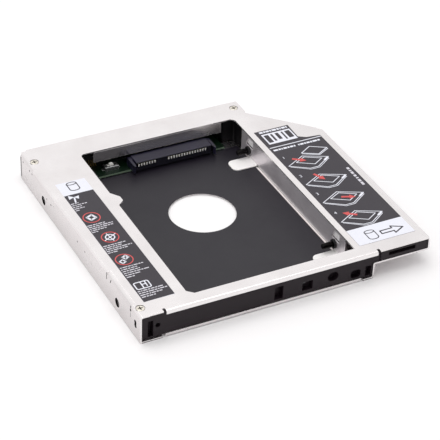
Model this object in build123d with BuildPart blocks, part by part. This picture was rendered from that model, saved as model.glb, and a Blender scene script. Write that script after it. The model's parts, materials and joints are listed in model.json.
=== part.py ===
import os

from build123d import *

os.makedirs("parts", exist_ok=True)

# The drive that the caddy carries, in millimetres
drive_width = 69.85
drive_hole_spacing = 76.6
drive_side_hole_height = 3.0

# Room round the drive, which together give the caddy's size:
# 128 mm across the wing, 126.1 mm from front to rear and 12.7 mm tall
left_strip = 25.75
right_strip = 7.0
wing_width = 25.4
front_room = 22.0
rear_room = 27.5
height = 12.7
width = left_strip + drive_width + right_strip + wing_width
depth = front_room + drive_hole_spacing + rear_room

# Sheets and levels
wing_underside = 6.8
wing_chamfer = 36.2
wing_chamfer_front = depth - wing_chamfer
label_thickness = 0.1
cover_sheet = 0.6
tray_sheet = 0.7
bracket_sheet = 0.5
film_sheet = 0.2
fold_radius = 0.7

# Levels and edges that follow from them
body_width = width - wing_width
cover_top = height - label_thickness
cover_under = cover_top - cover_sheet
wing_floor = wing_underside + tray_sheet
film_top = tray_sheet + film_sheet
step_inside = body_width - tray_sheet
wing_corner_x = body_width + 0.2
wing_corner_y = depth - 10.3
rear_right = body_width + 1.0

# Drive bay: opening in the cover and the seats of the drive
left_seat = left_strip
collar_face = left_seat + drive_width
collar_length = 1.0
bracket_x = collar_face + collar_length
bay_left = left_seat - 2.95
bay_right = collar_face + 0.5
bay_front = 5.85
rear_strip = 12.75
bay_rear = depth - rear_strip
film_clearance = 0.05
drive_floor = film_top + film_clearance + bracket_sheet
pin_height = drive_floor + drive_side_hole_height
front_pin_y = front_room
rear_pin_y = front_pin_y + drive_hole_spacing
pin_ys = (front_pin_y, rear_pin_y)

# Side bracket and its travel towards the front
bracket_front = front_pin_y - 8.2
bracket_rear = rear_pin_y + 7.4
bracket_travel = 6.0
bracket_top_clearance = 0.1
flange_width = right_strip - 2.7
tongue_length = 11.05
tongue_width = 8.0
rivet_radius = 1.0
rivet_fit = 0.05
rivet_x = bracket_x + 2.7
rivet_ys = (front_pin_y + 13.0, rear_pin_y - 18.0)

# Board and connectors
board_rise = 0.5
board_sheet = 0.8
board_under = tray_sheet + board_rise
board_top = board_under + board_sheet
board_front = depth - 17.2
board_rear = depth - 0.9
board_left = 6.5
board_right = body_width - 12.7
board_holes = ((board_left + 4.0, board_front + 3.3), (board_right - 3.0, board_rear - 3.1))
pitch = 1.27
contact_width = 0.6
contact_sheet = 0.22
connector_left = left_seat + 18.75
connector_front = rear_pin_y + 8.2
connector_rear = rear_pin_y + 14.5
connector_height = 4.2
connector_top = board_top + connector_height
signal_x = connector_left + 2.9
power_x = connector_left + 17.1

# Cover screws: two along the left edge, one in the rear right corner
screw_radius = 1.0
screw_head_radius = 1.7
screw_head = 0.45
dimple_depth = 0.5
dimple_floor = cover_top - dimple_depth
dimple_under = dimple_floor - cover_sheet
dimple_radius = 2.0
front_screw = (2.45, 5.7)
rear_left_screw = (3.0, depth - 10.1)
rear_right_screw = (body_width - 2.4, depth - 4.7)
cover_screw_spots = (front_screw, rear_left_screw, rear_right_screw)

# Front rail
rail_face = 0.75
rail_back = 5.0
rail_wing_face = 0.2
pocket_depth = 2.6


def level(z):
    """Flat plane at a height, with its origin at the front left corner."""
    return Plane(origin=(-width / 2, -depth / 2, z))


def facing(y):
    """Upright plane across the caddy, seen from the front."""
    return Plane(origin=(-width / 2, y - depth / 2, 0), x_dir=(1, 0, 0), z_dir=(0, -1, 0))


def side(x):
    """Upright plane along the caddy, seen from the right."""
    return Plane(origin=(x - width / 2, -depth / 2, 0), x_dir=(0, 1, 0), z_dir=(1, 0, 0))


def fold(plane, points, sheet, radius=fold_radius):
    """Section of a sheet that is bent along its middle line."""
    with BuildSketch(plane) as section:
        with BuildLine():
            FilletPolyline(*points, radius=radius)
        trace(line_width=sheet)
    return section.sketch


def strip(plane, points, sheet):
    """Section of a narrow strip with square bends along its middle line."""
    with BuildSketch(plane) as section:
        with BuildLine():
            Polyline(*points)
        trace(line_width=sheet)
    return section.sketch


def patch(plane, left, right, low, high, corner=0.0):
    """Rectangle between two pairs of edges, with rounded corners if asked for."""
    with BuildSketch(plane) as shape:
        with Locations(((left + right) / 2, (low + high) / 2)):
            if corner > 0:
                RectangleRounded(right - left, high - low, corner)
            else:
                Rectangle(right - left, high - low)
    return shape.sketch


def outline(plane, points):
    """Closed straight-sided shape."""
    with BuildSketch(plane) as shape:
        with BuildLine():
            Polyline(*points, close=True)
        make_face()
    return shape.sketch


def studs(plane, spots, radius, sides=16):
    """Equal many-sided shapes on a plane, measured across their flats."""
    with BuildSketch(plane) as shape:
        with Locations(*spots):
            RegularPolygon(radius, sides, major_radius=False)
    return shape.sketch


def discs(plane, spots, radius):
    """Equal round shapes on a plane."""
    with BuildSketch(plane) as shape:
        with Locations(*spots):
            Circle(radius)
    return shape.sketch


# Top cover: flat sheet with the bay opening, left side wall, front lip and rear flange
lip_left = 10.9
lip_right = body_width + 1.2
lip_bottom = cover_top - 1.75
notch = 1.2
notch_depth = 2.0
edge_set_back = 0.15
leaf_front = rear_pin_y - 26.4
leaf_rear = leaf_front + 9.0
leaf_reach = 2.9
side_end = depth - 1.1
flange_left = left_seat + 3.3
flange_right = bay_right - 6.1
flange_bottom = connector_top + 0.7
joggle_width = 2.0
joggle_depth = 0.25
wall_foot = 0.1
soft_front = 9.2
soft_rear = 31.8
soft_tail = depth - 15.5

with BuildPart() as top_cover:
    sheet_middle = cover_top - cover_sheet / 2
    extrude(
        outline(
            level(cover_under),
            [
                (bay_left - 2.0, leaf_front),
                (bay_left + 0.2, leaf_front),
                (bay_left + leaf_reach, leaf_front + 2.2),
                (bay_left + leaf_reach, leaf_front + 5.2),
                (bay_left + 0.2, leaf_rear),
                (bay_left - 2.0, leaf_rear),
            ],
        ),
        amount=cover_sheet,
    )
    leaf_tip = top_cover.faces().sort_by(Axis.X)[-1]
    fillet(leaf_tip.edges().filter_by(Axis.Z), radius=1.3)
    with BuildSketch(level(cover_under)):
        with BuildLine():
            Polyline(
                (3.0, edge_set_back),
                (lip_left - notch, edge_set_back),
                (lip_left - notch, notch_depth),
                (lip_left, notch_depth),
                (lip_left, 1.0),
                (lip_right, 1.0),
                (lip_right, notch_depth),
                (lip_right + notch, notch_depth),
                (lip_right + notch, edge_set_back),
                (width - 1.0, edge_set_back),
                (width, 1.1),
                (width, wing_chamfer_front),
                (wing_corner_x, wing_corner_y),
                (wing_corner_x + 0.5, wing_corner_y + 1.4),
                (rear_right, wing_corner_y + 1.4),
                (rear_right, depth),
                (3.0, depth),
                close=True,
            )
        make_face()
        with BuildLine():
            Polyline(
                (bay_left, bay_front + 2.4),
                (bay_left + 2.5, bay_front),
                (bay_right, bay_front),
                (bay_right, bay_rear - 1.6),
                (bay_right - 1.6, bay_rear),
                (bay_left + 1.8, bay_rear),
                (bay_left + 0.5, bay_rear - 0.5),
                (bay_left, bay_rear - 1.8),
                close=True,
            )
        make_face(mode=Mode.SUBTRACT)
        with Locations((bay_left - 1.0, (leaf_front + leaf_rear) / 2)):
            Rectangle(2.4, leaf_rear - leaf_front)
    extrude(amount=cover_sheet)
    for start, end, radius in (
        (0.0, soft_front, 0.8),
        (soft_front, soft_rear, 1.9),
        (soft_rear, soft_tail, 0.8),
        (soft_tail, side_end, 1.9),
    ):
        extrude(
            fold(
                facing(start),
                [
                    (cover_sheet / 2, wall_foot),
                    (cover_sheet / 2, sheet_middle),
                    (4.0, sheet_middle),
                ],
                cover_sheet,
                radius,
            ),
            amount=start - end,
        )
    extrude(
        fold(
            side(lip_left),
            [(3.0, sheet_middle), (cover_sheet / 2, sheet_middle), (cover_sheet / 2, lip_bottom)],
            cover_sheet,
        ),
        amount=lip_right - lip_left,
    )
    extrude(
        fold(
            side(flange_left),
            [
                (bay_rear + 3.0, sheet_middle),
                (bay_rear + cover_sheet / 2, sheet_middle),
                (bay_rear + cover_sheet / 2, flange_bottom),
            ],
            cover_sheet,
        ),
        amount=flange_right - flange_left,
    )
    # The joggled strip along the right edge of the wing
    joggle_rear = wing_chamfer_front + joggle_width
    strip_front = edge_set_back + 1.0
    extrude(
        outline(
            level(cover_under - joggle_depth),
            [
                (width - joggle_width - cover_sheet, strip_front),
                (width, strip_front),
                (width, wing_chamfer_front),
                (width - joggle_width - cover_sheet, joggle_rear),
            ],
        ),
        amount=cover_sheet,
    )
    extrude(
        outline(
            level(cover_top - joggle_depth),
            [
                (width - joggle_width, -1.0),
                (width + 1.0, -1.0),
                (width + 1.0, depth),
                (width - joggle_width, depth),
            ],
        ),
        amount=1.0,
        mode=Mode.SUBTRACT,
    )
    # Screw dimples pressed into the sheet
    extrude(studs(level(dimple_under), cover_screw_spots, 2.3), amount=cover_sheet)
    extrude(
        discs(level(dimple_floor), cover_screw_spots, dimple_radius),
        amount=height - dimple_floor,
        mode=Mode.SUBTRACT,
    )
    extrude(
        studs(level(dimple_under - 1.0), cover_screw_spots, screw_radius + 0.15),
        amount=height,
        mode=Mode.SUBTRACT,
    )
    # Holes, slits and pressed marks in the left wall
    with BuildSketch(side(-1.0)):
        with Locations(*[(y, pin_height) for y in pin_ys]):
            Circle(2.0)
        with Locations((soft_rear + 0.4, height - 2.2)):
            Rectangle(0.6, 3.2)
        with Locations((soft_rear - 3.5, height - 2.4)):
            Rectangle(0.5, 1.9, rotation=20)
        with Locations((soft_front, height - 1.2), (soft_front, height - 2.7)):
            RegularPolygon(0.6, 8)
        with Locations((soft_front, height - 5.0)):
            Rectangle(0.4, 2.2)
        with Locations((4.8, 7.2), (4.7, 5.6)):
            RegularPolygon(1.1, 8)
        with Locations(*[(rear_pin_y - back, pin_height + 3.0) for back in (3.6, 8.4, 36.8, 44.5)]):
            RegularPolygon(0.45, 8)
        with Locations(*[(depth - back, height - 2.8) for back in (4.5, 11.9, 14.7)]):
            RegularPolygon(0.45, 8)
    extrude(amount=1.0 + cover_sheet + 0.05, mode=Mode.SUBTRACT)

top_cover.part.label = "top_cover"
export_step(top_cover.part, "parts/top_cover.step")


# Bottom tray: floor, step, wing floor, rear wall and the inner side flange in one sheet
tray_middle = tray_sheet / 2
tray_lip_left = lip_left - 0.4
tray_lip_right = body_width - 6.1
tray_lip_top = 1.7
flange_start = front_screw[1] + 4.7
flange_end = depth - 1.6
flange_x = cover_sheet + tray_sheet / 2
flange_height = 6.0
hole_x = (left_seat + collar_face) / 2 - 1.4
hole_y = (front_pin_y + rear_pin_y) / 2 + 7.9
film_hole_radius = 14.35
floor_hole_radius = film_hole_radius + 0.35
access_ys = (front_pin_y + 8.8, rear_pin_y + 8.6)
host_left = 9.0
host_width = 26.6
host_right = host_left + host_width
tab_thread_radius = screw_radius + 0.03

with BuildPart() as bottom_tray:
    extrude(
        outline(
            level(0.0),
            [
                (flange_x + 1.5, 0.1),
                (tray_lip_left - notch, 0.1),
                (tray_lip_left - notch, 1.8),
                (tray_lip_left, 1.8),
                (tray_lip_left, 1.2),
                (tray_lip_right, 1.2),
                (tray_lip_right, 1.8),
                (tray_lip_right + notch, 1.8),
                (tray_lip_right + notch, 0.1),
                (body_width - 2.5, 0.1),
                (body_width - 2.5, wing_corner_y),
                (rear_right - tray_sheet, wing_corner_y),
                (rear_right - tray_sheet, depth - 2.5),
                (flange_x + 1.5, depth - 2.5),
            ],
        ),
        amount=tray_sheet,
    )
    extrude(
        patch(level(0.0), cover_sheet + 0.02, flange_x + 2.0, 0.1, flange_start + 0.4),
        amount=tray_sheet,
    )
    # Step up to the wing and the wing's right wall
    extrude(
        fold(
            facing(0.1),
            [
                (body_width - 5.0, tray_middle),
                (body_width - tray_middle, tray_middle),
                (body_width - tray_middle, wing_underside + tray_middle),
                (width - tray_middle, wing_underside + tray_middle),
                (width - tray_middle, cover_under - joggle_depth),
            ],
            tray_sheet,
        ),
        amount=0.1 - wing_corner_y,
    )
    run_x = wing_corner_x - width
    run_y = wing_corner_y - wing_chamfer_front
    run = (run_x ** 2 + run_y ** 2) ** 0.5
    inward_x = -run_y / run * tray_sheet
    inward_y = run_x / run * tray_sheet
    extrude(
        outline(
            level(-1.0),
            [
                (width + 1.0, wing_chamfer_front + run_y / run_x),
                (wing_corner_x, wing_corner_y),
                (wing_corner_x, depth + 5.0),
                (width + 5.0, depth + 5.0),
                (width + 5.0, wing_chamfer_front),
            ],
        ),
        amount=height + 2.0,
        mode=Mode.SUBTRACT,
    )
    extrude(
        outline(
            level(wing_underside),
            [
                (width, wing_chamfer_front),
                (wing_corner_x, wing_corner_y),
                (wing_corner_x + inward_x, wing_corner_y + inward_y),
                (width + inward_x, wing_chamfer_front + inward_y),
            ],
        ),
        amount=cover_under - joggle_depth - wing_underside,
    )
    # Rear wall and the short right wall beside it
    extrude(
        fold(
            side(flange_x),
            [
                (depth - 6.0, tray_middle),
                (depth - tray_middle, tray_middle),
                (depth - tray_middle, cover_under),
            ],
            tray_sheet,
        ),
        amount=rear_right - flange_x,
    )
    extrude(
        patch(level(0.0), rear_right - tray_sheet, rear_right, wing_corner_y, depth),
        amount=cover_under,
    )
    extrude(
        patch(
            level(0.0),
            body_width - tray_sheet,
            rear_right,
            wing_corner_y,
            wing_corner_y + tray_sheet,
        ),
        amount=cover_under,
    )
    # Front lip
    extrude(
        fold(
            side(tray_lip_left),
            [(4.0, tray_middle), (tray_middle, tray_middle), (tray_middle, tray_lip_top)],
            tray_sheet,
        ),
        amount=tray_lip_right - tray_lip_left,
    )
    # Side flange inside the cover's wall, with a folded tab for the rear left screw
    extrude(
        fold(
            facing(flange_start),
            [(6.0, tray_middle), (flange_x, tray_middle), (flange_x, flange_height)],
            tray_sheet,
        ),
        amount=flange_start - flange_end,
    )
    tab_front = rear_left_screw[1] - 2.7
    tab_rear = rear_left_screw[1] + 2.7
    extrude(
        fold(
            facing(tab_front),
            [
                (flange_x, flange_height - 1.0),
                (flange_x, dimple_under - tray_middle),
                (rear_left_screw[0] + 2.7, dimple_under - tray_middle),
            ],
            tray_sheet,
        ),
        amount=tab_front - tab_rear,
    )
    extrude(
        studs(level(dimple_under - 1.0), [rear_left_screw], tab_thread_radius),
        amount=2.0,
        mode=Mode.SUBTRACT,
    )
    # Pressed bosses under the board, dimpled from below
    extrude(studs(level(tray_sheet), board_holes, 2.4), amount=board_rise)
    extrude(studs(level(0.0), board_holes, 1.7), amount=board_rise, mode=Mode.SUBTRACT)
    extrude(studs(level(0.0), board_holes, 0.83), amount=3.0, mode=Mode.SUBTRACT)
    # Round window in the floor and the rivet holes
    extrude(
        discs(level(-1.0), [(hole_x, hole_y)], floor_hole_radius),
        amount=3.0,
        mode=Mode.SUBTRACT,
    )
    extrude(
        studs(level(-1.0), [(rivet_x, y) for y in rivet_ys], rivet_radius),
        amount=3.0,
        mode=Mode.SUBTRACT,
    )
    # Access slots in the step, reliefs at the side holes and the window for the plug
    for y in access_ys:
        extrude(
            patch(side(body_width - 3.0), y - 4.4, y + 4.4, tray_sheet + 0.3, 4.7),
            amount=5.0,
            mode=Mode.SUBTRACT,
        )
    extrude(
        studs(side(-1.0), [(y, pin_height) for y in pin_ys], 2.6),
        amount=4.0,
        mode=Mode.SUBTRACT,
    )
    extrude(
        patch(facing(depth + 1.0), host_left - 0.3, host_right + 0.3, board_under, 7.4),
        amount=3.0,
        mode=Mode.SUBTRACT,
    )

bottom_tray.part.label = "bottom_tray"
export_step(bottom_tray.part, "parts/bottom_tray.step")


# Insulating sheet on the bay floor
film_left = left_seat + 0.25
film_right = bracket_x - 0.45

with BuildPart() as insulating_sheet:
    extrude(
        patch(level(tray_sheet), film_left, film_right, rail_back + 0.2, board_front - 0.1),
        amount=film_sheet,
    )
    extrude(
        discs(level(0.0), [(hole_x, hole_y)], film_hole_radius),
        amount=3.0,
        mode=Mode.SUBTRACT,
    )

insulating_sheet.part.label = "insulating_sheet"
export_step(insulating_sheet.part, "parts/insulating_sheet.step")


# Front rail with its pockets; the wing's part is set forward
rail_left = cover_sheet + 0.05
rail_right = step_inside - 0.05
rail_wing_right = width - tray_sheet - 0.1
rail_wing_left = lip_right + notch + 0.2
indicator_left = body_width - 32.6
indicator_top = 7.1
rib_pitch = 9.2
slot_right = width - 6.8

with BuildPart() as front_rail:
    extrude(
        patch(facing(rail_face), rail_left, rail_right, tray_sheet, cover_under),
        amount=rail_face - rail_back,
    )
    chamfer(front_rail.edges().filter_by(Axis.Y), length=0.5)
    long_edges = front_rail.faces().sort_by(Axis.Y)[0].edges().filter_by(Axis.X)
    chamfer(long_edges, length=0.55)
    extrude(
        patch(
            facing(rail_face),
            step_inside - 2.0,
            rail_wing_right,
            wing_floor,
            cover_under - joggle_depth - 0.05,
        ),
        amount=rail_face - rail_back,
    )
    wing_edge = front_rail.edges().filter_by(Axis.Y).sort_by(Axis.X)[-2:].sort_by(Axis.Z)[0]
    chamfer(wing_edge, length=0.4)
    extrude(
        patch(
            facing(rail_wing_face),
            rail_wing_left,
            rail_wing_right - 0.4,
            wing_floor,
            cover_under - joggle_depth - 0.05,
        ),
        amount=rail_wing_face - rail_face,
    )
    # Boss for the front left screw
    extrude(
        patch(level(tray_sheet), rail_left, front_screw[0] + 2.8, rail_back - 0.5, 8.6),
        amount=dimple_under - tray_sheet,
    )
    extrude(
        discs(level(dimple_under), [front_screw], 2.35),
        amount=3.0,
        mode=Mode.SUBTRACT,
    )
    extrude(
        discs(level(dimple_under - 4.0), [front_screw], screw_radius + 0.03),
        amount=6.0,
        mode=Mode.SUBTRACT,
    )
    # Pockets in the front face
    with BuildSketch(facing(rail_wing_face - 0.5)):
        with Locations((4.5, 5.4)):
            Rectangle(2.3, 7.4)
        with Locations((7.6, 6.3)):
            Circle(1.05)
        with Locations((body_width - 43.0, 5.4)):
            Rectangle(3.8, 6.0)
        with Locations((indicator_left + 2.35, indicator_top - 2.05)):
            Rectangle(4.7, 4.1)
        with Locations((body_width - 18.7, 5.95)):
            SlotOverall(4.9, 4.1)
        with Locations((body_width - 8.3, 4.1)):
            RectangleRounded(4.6, 3.8, 1.4)
        with Locations((body_width - 2.6, 4.0)):
            Rectangle(2.6, 4.7)
        with Locations((slot_right - 6.15, 10.1)):
            Rectangle(12.3, 1.75)
    extrude(amount=rail_wing_face - 0.5 - rail_face - pocket_depth, mode=Mode.SUBTRACT)
    # Cored back between upright ribs
    for number in range(5):
        rib_left = 10.0 + number * rib_pitch
        extrude(
            patch(
                facing(rail_back + 1.0),
                rib_left,
                rib_left + rib_pitch - 1.2,
                tray_sheet + 1.2,
                cover_under - 1.2,
            ),
            amount=1.0 + rail_back - 2.2,
            mode=Mode.SUBTRACT,
        )

front_rail.part.label = "front_rail"
export_step(front_rail.part, "parts/front_rail.step")


# Indicator light in the corner of its window
with BuildPart() as indicator_light:
    light_back = rail_face + pocket_depth
    light_x = indicator_left + 1.3
    light_z = indicator_top - 1.0
    extrude(
        patch(
            facing(light_back - 0.9),
            light_x - 1.0,
            light_x + 1.0,
            light_z - 0.8,
            light_z + 0.8,
        ),
        amount=-0.9,
    )
    with BuildSketch(facing(light_back - 0.9)):
        with Locations((light_x, light_z)):
            Circle(0.6)
    extrude(amount=0.5)
    dome = indicator_light.faces().sort_by(Axis.Y)[0]
    chamfer(dome.edges(), length=0.25)

indicator_light.part.label = "indicator_light"
export_step(indicator_light.part, "parts/indicator_light.step")


# Side bracket: bright wall with two tongues, windows and a slotted foot
pin_neck = 1.2
wall_middle = bracket_x + bracket_sheet / 2
bracket_top = cover_under - bracket_top_clearance
tongue_middle = film_top + film_clearance + bracket_sheet / 2
foot_middle = tray_sheet + bracket_sheet / 2
rear_tongue_front = rear_pin_y - 8.2
tongue_fronts = (bracket_front, rear_tongue_front)
foot_ranges = (
    (bracket_front + tongue_width + 0.8, rear_tongue_front - 0.8),
    (rear_tongue_front + tongue_width + 0.8, bracket_rear),
)
window_low = pin_height + 1.9
window_high = bracket_top - 1.4

with BuildPart() as side_bracket:
    extrude(
        patch(side(bracket_x), bracket_front, bracket_rear, tongue_middle + 1.0, bracket_top),
        amount=bracket_sheet,
    )
    upper_corners = side_bracket.edges().filter_by(Axis.X).group_by(Axis.Z)[-1]
    fillet(upper_corners, radius=2.0)
    for start, end in foot_ranges:
        extrude(
            fold(
                facing(start),
                [
                    (wall_middle, tongue_middle + 1.5),
                    (wall_middle, foot_middle),
                    (bracket_x + flange_width, foot_middle),
                ],
                bracket_sheet,
                0.6,
            ),
            amount=start - end,
        )
    for start in tongue_fronts:
        tip = bracket_x - tongue_length
        extrude(
            fold(
                facing(start),
                [
                    (wall_middle, tongue_middle + 1.5),
                    (wall_middle, tongue_middle),
                    (tip, tongue_middle),
                ],
                bracket_sheet,
                0.6,
            ),
            amount=-tongue_width,
        )
    tips = side_bracket.faces().filter_by(Axis.X).group_by(Axis.X)[0]
    fillet(tips.edges().filter_by(Axis.Z), radius=2.6)
    for y in pin_ys:
        extrude(
            outline(
                side(bracket_x - 1.0),
                [
                    (y - 3.4, window_low),
                    (y + 3.0, window_low),
                    (y + 1.2, window_high),
                    (y - 3.4, window_high),
                ],
            ),
            amount=3.0,
            mode=Mode.SUBTRACT,
        )
    extrude(
        studs(side(bracket_x - 1.0), [(y, pin_height) for y in pin_ys], pin_neck),
        amount=3.0,
        mode=Mode.SUBTRACT,
    )
    slot_length = bracket_travel + 2 * (rivet_radius + rivet_fit)
    with BuildSketch(level(0.0)):
        with Locations(*[(rivet_x, y + bracket_travel / 2) for y in rivet_ys]):
            SlotOverall(slot_length, 2 * (rivet_radius + rivet_fit), rotation=90)
    extrude(amount=2.0, mode=Mode.SUBTRACT)

side_bracket.part.label = "side_bracket"
export_step(side_bracket.part, "parts/side_bracket.step")


# Drive pins riveted through the bracket and the collars at their roots
pin_radius = 1.3
pin_length = 5.9
pin_head_radius = 2.2

with BuildPart() as drive_pins:
    extrude(
        discs(side(bracket_x - pin_length), [(y, pin_height) for y in pin_ys], pin_radius),
        amount=pin_length,
    )
    chamfer(drive_pins.faces().sort_by(Axis.X)[:2].edges(), length=0.4)
    extrude(
        studs(side(bracket_x), [(y, pin_height) for y in pin_ys], pin_neck),
        amount=bracket_sheet,
    )
    extrude(
        studs(
            side(bracket_x + bracket_sheet),
            [(y, pin_height) for y in pin_ys],
            pin_head_radius,
        ),
        amount=0.7,
    )
    chamfer(drive_pins.faces().sort_by(Axis.X)[-2:].edges(), length=0.35)

drive_pins.part.label = "drive_pins"
export_step(drive_pins.part, "parts/drive_pins.step")

with BuildPart() as pin_collars:
    with BuildSketch(side(collar_face)):
        with Locations(*[(y, pin_height) for y in pin_ys]):
            RegularPolygon(2.0, 32)
            Circle(pin_radius + 0.02, mode=Mode.SUBTRACT)
    extrude(amount=collar_length)

pin_collars.part.label = "pin_collars"
export_step(pin_collars.part, "parts/pin_collars.step")


# Shoulder rivets that guide the bracket's foot
with BuildPart() as guide_rivets:
    extrude(studs(level(0.0), [(rivet_x, y) for y in rivet_ys], rivet_radius - 0.01),
            amount=tray_sheet + bracket_sheet + 0.05)
    extrude(studs(level(tray_sheet + bracket_sheet + 0.05),
                  [(rivet_x, y) for y in rivet_ys], 1.75), amount=0.6)
    chamfer(guide_rivets.faces().sort_by(Axis.Z)[-2:].edges(), length=0.3)

guide_rivets.part.label = "guide_rivets"
export_step(guide_rivets.part, "parts/guide_rivets.step")


# Left bracket under the left strip, the fixed seat of the drive's other side
left_wall_middle = left_seat - bracket_sheet / 2
left_wall_top = pin_height + 3.75
left_foot_width = 0.43 * left_strip

with BuildPart() as left_bracket:
    extrude(
        fold(
            facing(front_pin_y - 12.0),
            [
                (left_wall_middle - left_foot_width, foot_middle),
                (left_wall_middle, foot_middle),
                (left_wall_middle, left_wall_top),
            ],
            bracket_sheet,
            0.6,
        ),
        amount=-(drive_hole_spacing + 20.0),
    )
    extrude(
        discs(side(left_seat - 2.0), [(y, pin_height) for y in pin_ys], 1.6),
        amount=4.0,
        mode=Mode.SUBTRACT,
    )
    window_pitch = (drive_hole_spacing - 20.0) / 3
    for number in range(3):
        window_start = front_pin_y + 12.0 + number * window_pitch
        extrude(
            patch(
                side(left_seat - 2.0),
                window_start,
                window_start + window_pitch - 5.0,
                pin_height - 1.5,
                left_wall_top - 1.5,
            ),
            amount=4.0,
            mode=Mode.SUBTRACT,
        )

left_bracket.part.label = "left_bracket"
export_step(left_bracket.part, "parts/left_bracket.step")


# Moulded block in the rear right corner that takes a cover screw
block_left = bay_right - 5.2
block_step = bracket_x + 0.3
block_front = bracket_rear + 1.2

with BuildPart() as rear_corner_block:
    with BuildSketch(level(tray_sheet)):
        with BuildLine():
            Polyline(
                (block_step, block_front),
                (step_inside - 0.05, block_front),
                (step_inside - 0.05, depth - tray_sheet - 0.1),
                (block_left, depth - tray_sheet - 0.1),
                (block_left, bay_rear + 0.7),
                (block_step, bay_rear + 0.7),
                close=True,
            )
        make_face()
    extrude(amount=dimple_under - tray_sheet)
    upright = rear_corner_block.edges().filter_by(Axis.Z)
    chamfer(upright, length=0.45)
    chamfer(rear_corner_block.faces().sort_by(Axis.Z)[0].edges(), length=0.45)
    extrude(
        patch(
            level(dimple_under),
            block_left + 0.5,
            rear_right_screw[0] - 2.6,
            bay_rear + 1.5,
            depth - 2.0,
        ),
        amount=cover_under - dimple_under,
    )
    extrude(
        discs(level(dimple_under - 5.0), [rear_right_screw], screw_radius + 0.03),
        amount=6.0,
        mode=Mode.SUBTRACT,
    )
    for low, high in ((bay_rear + 2.0, depth - 7.4), (depth - 6.4, depth - 2.4)):
        extrude(
            patch(level(0.0), block_left + 1.2, rear_right_screw[0] - 2.4, low, high),
            amount=dimple_under - 1.5,
            mode=Mode.SUBTRACT,
        )

rear_corner_block.part.label = "rear_corner_block"
export_step(rear_corner_block.part, "parts/rear_corner_block.step")


# Circuit board behind the bay
with BuildPart() as circuit_board:
    extrude(
        patch(level(board_under), board_left, board_right, board_front, board_rear),
        amount=board_sheet,
    )
    extrude(discs(level(0.0), board_holes, 1.2), amount=5.0, mode=Mode.SUBTRACT)
    extrude(
        patch(level(0.0), host_left - 0.6, host_right + 0.6, depth - 4.0, depth + 1.0),
        amount=5.0,
        mode=Mode.SUBTRACT,
    )

circuit_board.part.label = "circuit_board"
export_step(circuit_board.part, "parts/circuit_board.step")

with BuildPart() as board_screws:
    extrude(discs(level(board_top), board_holes, 1.7), amount=0.7)
    chamfer(board_screws.faces().sort_by(Axis.Z)[-2:].edges(), length=0.25)
    with BuildSketch(level(board_top + 0.35)):
        with Locations(*board_holes):
            Rectangle(1.8, 0.35)
            Rectangle(0.35, 1.8)
    extrude(amount=1.0, mode=Mode.SUBTRACT)
    extrude(studs(level(0.1), board_holes, 0.8), amount=board_top - 0.1)

board_screws.part.label = "board_screws"
export_step(board_screws.part, "parts/board_screws.step")


# Receptacle for the drive: body with two keyed slots and a guide arm at each end
arm_width = 1.2
arm_gap = 0.6
body_left = connector_left + arm_width + arm_gap
body_right = power_x + 14 * pitch + 2.8
connector_right = body_right + arm_gap + arm_width
arm_front = connector_front - 2.0
slot_low = board_top + 2.4
slot_high = slot_low + 1.3
slot_back = connector_front + 4.6
signal_slot = (signal_x - 1.0, signal_x + 6 * pitch + 1.0)
power_slot = (power_x - 1.0, power_x + 14 * pitch + 1.0)
contact_xs = [signal_x + pitch * n for n in range(7)]
contact_xs += [power_x + pitch * n for n in range(15)]

with BuildPart() as drive_connector:
    extrude(
        patch(level(board_top), body_left, body_right, connector_front, connector_rear),
        amount=connector_height,
    )
    crown = drive_connector.faces().sort_by(Axis.Z)[-1].edges().sort_by(Axis.Y)[0]
    chamfer(crown, length=0.3)
    for left in (connector_left, connector_right - arm_width):
        right = left + arm_width
        middle = (left + right) / 2
        extrude(
            outline(
                level(board_top),
                [
                    (left, arm_front + 1.6),
                    (middle - 0.15, arm_front),
                    (middle + 0.15, arm_front),
                    (right, arm_front + 1.6),
                    (right, connector_rear),
                    (left, connector_rear),
                ],
            ),
            amount=connector_height - 0.5,
        )
    extrude(
        patch(level(board_top), connector_left, connector_right, connector_rear - 2.4,
              connector_rear),
        amount=connector_height - 0.5,
    )
    for left, right in (signal_slot, power_slot):
        extrude(
            patch(facing(connector_front - 1.0), left, right, slot_low, slot_high),
            amount=-1.0 - slot_back + connector_front,
            mode=Mode.SUBTRACT,
        )
    for left in (signal_slot[0], power_slot[1] - 0.7):
        extrude(
            patch(facing(connector_front - 1.0), left, left + 0.7, slot_low - 0.8, slot_high),
            amount=-1.0 - slot_back + connector_front,
            mode=Mode.SUBTRACT,
        )
    for x in contact_xs:
        extrude(
            patch(
                facing(slot_back - 0.5),
                x - contact_width / 2 - 0.02,
                x + contact_width / 2 + 0.02,
                slot_low,
                slot_low + contact_sheet + 0.04,
            ),
            amount=-5.0,
            mode=Mode.SUBTRACT,
        )

drive_connector.part.label = "drive_connector"
export_step(drive_connector.part, "parts/drive_connector.step")

contact_z = slot_low + contact_sheet / 2
foot_z = board_top + contact_sheet / 2
tail_y = connector_rear + 0.25
contact_path = [
    (connector_front + 0.1, contact_z),
    (tail_y, contact_z),
    (tail_y, foot_z),
    (tail_y + 1.1, foot_z),
]

with BuildPart() as signal_contacts:
    for number in range(7):
        left = signal_x + number * pitch - contact_width / 2
        extrude(strip(side(left), contact_path, contact_sheet), amount=contact_width)

signal_contacts.part.label = "signal_contacts"
export_step(signal_contacts.part, "parts/signal_contacts.step")

with BuildPart() as power_contacts:
    for number in range(15):
        left = power_x + number * pitch - contact_width / 2
        extrude(strip(side(left), contact_path, contact_sheet), amount=contact_width)

power_contacts.part.label = "power_contacts"
export_step(power_contacts.part, "parts/power_contacts.step")


# Mode switch: moulded base, metal shell and sliding knob
switch_x = left_seat + 11.2
switch_y = board_front + 4.35
switch_length = 6.3
switch_width = 3.3
switch_height = 1.9
shell_sheet = 0.25
knob_width = 1.6
knob_travel = 1.1
knob_fit = 0.08
plate_length = 3.0
base_height = 0.95

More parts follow.
